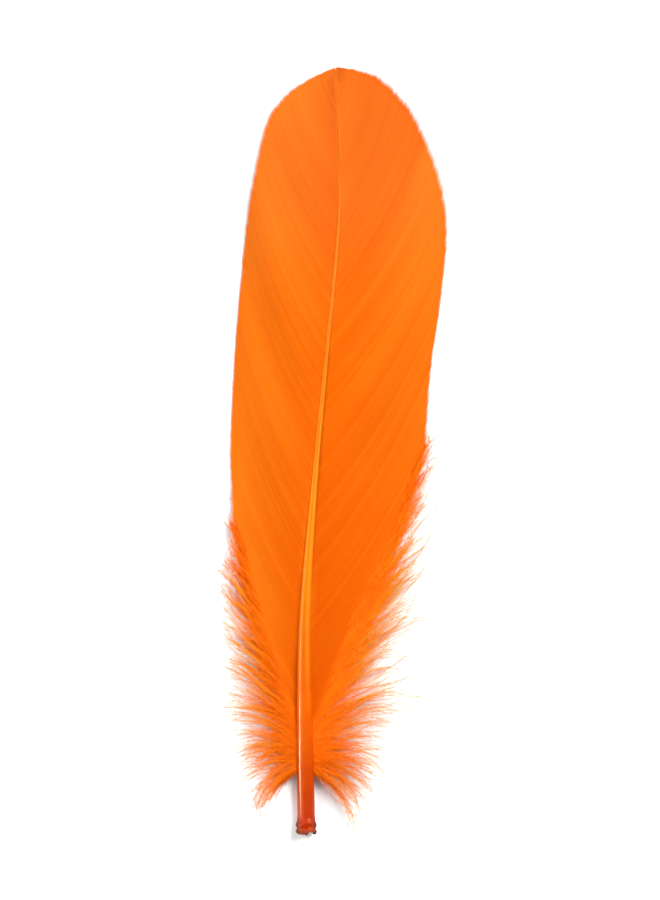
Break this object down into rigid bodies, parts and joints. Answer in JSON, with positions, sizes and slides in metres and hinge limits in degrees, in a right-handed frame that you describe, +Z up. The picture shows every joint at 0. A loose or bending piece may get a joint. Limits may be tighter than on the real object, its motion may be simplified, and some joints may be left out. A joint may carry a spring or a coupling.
{
  "type": "goose feather",
  "caption": "Dyed goose wing feather with a hollow quill, a curved shaft, two closed vanes and loose down at the base, lying arched side up.",
  "frame": {"origin": "on the surface that the feather lies on, in the middle of the flat under the quill, 6 mm from its cut end", "axes": "+Y along the shaft to the tip, +X to the wider of the two vanes, +Z up, on the arched side"},
  "size_m": [0.0529, 0.1798, 0.0068],
  "materials": {
    "vane": "barbs dyed orange, zipped in a smooth matt sheet with fine lines along them",
    "shaft": "horny keratin dyed orange, smooth and glossy, redder on the hollow quill and dark at its cut end",
    "down": "loose fluffy barbs dyed orange, paler where they thin out"
  },
  "bodies": {
    "root": {"feather": "vane"}
  },
  "joints": []
}
